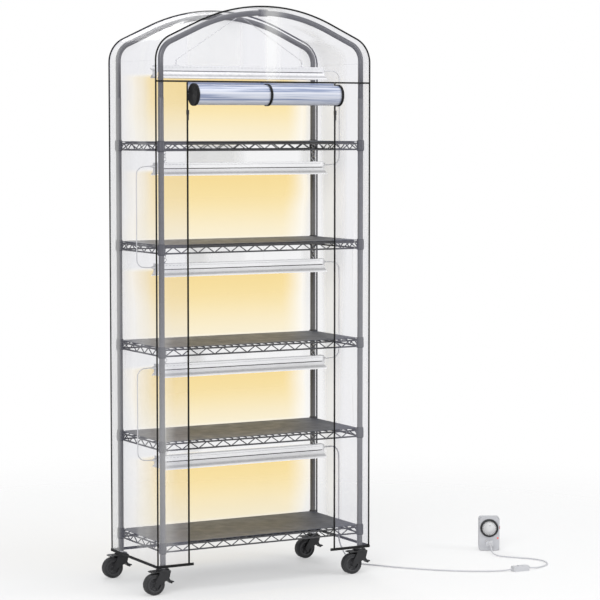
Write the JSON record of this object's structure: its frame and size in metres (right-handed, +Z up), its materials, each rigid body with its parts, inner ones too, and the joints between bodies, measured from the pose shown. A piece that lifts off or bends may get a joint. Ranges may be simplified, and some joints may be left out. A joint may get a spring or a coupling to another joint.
{
  "type": "wire shelving rack",
  "caption": "Wire shelving rack on braked castors with an arched clear cover, hanging grow lights and a timer lead.",
  "frame": {"origin": "on the floor, midway between the four posts", "axes": "+X to the right along the front, +Y to the rear, +Z up; the door faces -Y"},
  "size_m": [1.441, 0.5874, 1.8682],
  "materials": {
    "post_coat": "satin powder coat",
    "hoop_coat": "satin powder coat",
    "wire_coat": "satin powder coat",
    "mat": "matt embossed",
    "sleeve": "matt",
    "castor_plastic": "satin moulded",
    "hub_plastic": "satin moulded",
    "tread": "matt",
    "zinc": "bright zinc",
    "lamp_white": "gloss white",
    "diffuser": "lit warm white",
    "cap_white": "satin moulded",
    "cable": "satin",
    "cord": "satin",
    "white_plastic": "satin moulded",
    "timer_plastic": "satin moulded",
    "dial": "satin moulded",
    "red_plastic": "gloss",
    "red_lens": "lit",
    "pin_brass": "nickel brass",
    "film": "clear flexible film",
    "rolled_film": "clear film in many turns",
    "piping": "woven binding",
    "zip_tape": "woven tape and coil",
    "zip_metal": "satin"
  },
  "bodies": {
    "root": {"post_front_left": "post_coat", "post_front_right": "post_coat", "post_rear_left": "post_coat", "post_rear_right": "post_coat", "shelf_1": "wire_coat", "lamp_1": "lamp_white", "shelf_2": "wire_coat", "lamp_2": "lamp_white", "shelf_3": "wire_coat", "lamp_3": "lamp_white", "shelf_4": "wire_coat", "lamp_4": "lamp_white", "shelf_5": "wire_coat", "lamp_5": "lamp_white", "hoop_front": "hoop_coat", "hoop_rear": "hoop_coat", "ridge_tube": "hoop_coat", "shelf_mats": "mat", "collar_sleeves": "sleeve", "castor_stems": "zinc", "lamp_diffusers": "diffuser", "lamp_end_caps": "cap_white", "lamp_hangers": "zinc", "link_cables": "cable", "power_cord": "cord", "switch_body": "white_plastic", "plug": "white_plastic", "timer_body": "timer_plastic", "timer_light": "red_lens", "timer_pins": "pin_brass", "cover_left": "film", "cover_right": "film", "cover_roof": "film", "cover_back": "film", "cover_front": "film", "cover_piping": "piping", "zips": "zip_tape", "door_roll": "rolled_film", "door_ties": "piping"},
    "castor_front_left": {"fork_front_left": "castor_plastic"},
    "wheel_front_left": {"hub_front_left": "hub_plastic", "tyre_front_left": "tread"},
    "pedal_front_left": {"brake_front_left": "castor_plastic"},
    "castor_front_right": {"fork_front_right": "castor_plastic"},
    "wheel_front_right": {"hub_front_right": "hub_plastic", "tyre_front_right": "tread"},
    "pedal_front_right": {"brake_front_right": "castor_plastic"},
    "castor_rear_left": {"fork_rear_left": "castor_plastic"},
    "wheel_rear_left": {"hub_rear_left": "hub_plastic", "tyre_rear_left": "tread"},
    "pedal_rear_left": {"brake_rear_left": "castor_plastic"},
    "castor_rear_right": {"fork_rear_right": "castor_plastic"},
    "wheel_rear_right": {"hub_rear_right": "hub_plastic", "tyre_rear_right": "tread"},
    "pedal_rear_right": {"brake_rear_right": "castor_plastic"},
    "slider_left": {"zip_slider_left": "zip_metal"},
    "slider_right": {"zip_slider_right": "zip_metal"},
    "rocker": {"switch_rocker": "white_plastic"},
    "dial": {"timer_dial": "dial"},
    "side_slide": {"timer_slide": "red_plastic"}
  },
  "joints": [
    {"name": "swivel_front_left", "type": "hinge", "parent": "root", "child": "castor_front_left", "pos_m": [-0.3625, -0.16, 0.08], "axis": [0, 0, 1], "continuous": true},
    {"name": "roll_front_left", "type": "hinge", "parent": "castor_front_left", "child": "wheel_front_left", "pos_m": [-0.3945, -0.16, 0.034], "axis": [0, 1, 0], "continuous": true},
    {"name": "pedal_front_left", "type": "hinge", "parent": "castor_front_left", "child": "pedal_front_left", "pos_m": [-0.3545, -0.16, 0.06], "axis": [0, 1, 0], "range_deg": [0, 12]},
    {"name": "swivel_front_right", "type": "hinge", "parent": "root", "child": "castor_front_right", "pos_m": [0.3625, -0.16, 0.08], "axis": [0, 0, 1], "continuous": true},
    {"name": "roll_front_right", "type": "hinge", "parent": "castor_front_right", "child": "wheel_front_right", "pos_m": [0.3305, -0.16, 0.034], "axis": [0, 1, 0], "continuous": true},
    {"name": "pedal_front_right", "type": "hinge", "parent": "castor_front_right", "child": "pedal_front_right", "pos_m": [0.3705, -0.16, 0.06], "axis": [0, 1, 0], "range_deg": [0, 12]},
    {"name": "swivel_rear_left", "type": "hinge", "parent": "root", "child": "castor_rear_left", "pos_m": [-0.3625, 0.16, 0.08], "axis": [0, 0, 1], "continuous": true},
    {"name": "roll_rear_left", "type": "hinge", "parent": "castor_rear_left", "child": "wheel_rear_left", "pos_m": [-0.3945, 0.16, 0.034], "axis": [0, 1, 0], "continuous": true},
    {"name": "pedal_rear_left", "type": "hinge", "parent": "castor_rear_left", "child": "pedal_rear_left", "pos_m": [-0.3545, 0.16, 0.06], "axis": [0, 1, 0], "range_deg": [0, 12]},
    {"name": "swivel_rear_right", "type": "hinge", "parent": "root", "child": "castor_rear_right", "pos_m": [0.3625, 0.16, 0.08], "axis": [0, 0, 1], "continuous": true},
    {"name": "roll_rear_right", "type": "hinge", "parent": "castor_rear_right", "child": "wheel_rear_right", "pos_m": [0.3305, 0.16, 0.034], "axis": [0, 1, 0], "continuous": true},
    {"name": "pedal_rear_right", "type": "hinge", "parent": "castor_rear_right", "child": "pedal_rear_right", "pos_m": [0.3705, 0.16, 0.06], "axis": [0, 1, 0], "range_deg": [0, 12]},
    {"name": "zip_left", "type": "slide", "parent": "root", "child": "slider_left", "axis": [0, 0, 1], "range_m": [-1.4, 0]},
    {"name": "zip_right", "type": "slide", "parent": "root", "child": "slider_right", "axis": [0, 0, 1], "range_m": [-1.4, 0]},
    {"name": "switch_rock", "type": "hinge", "parent": "root", "child": "rocker", "pos_m": [0.85, -0.392, 0.0125], "axis": [0.0698, 0.9976, 0], "range_deg": [0, 14]},
    {"name": "timer_turn", "type": "hinge", "parent": "root", "child": "dial", "pos_m": [0.96, -0.04, 0.08], "axis": [-0.4848, -0.8746, 0], "continuous": true},
    {"name": "timer_side_slide", "type": "slide", "parent": "root", "child": "side_slide", "axis": [0, 0, 1], "range_m": [0, 0.008]}
  ]
}
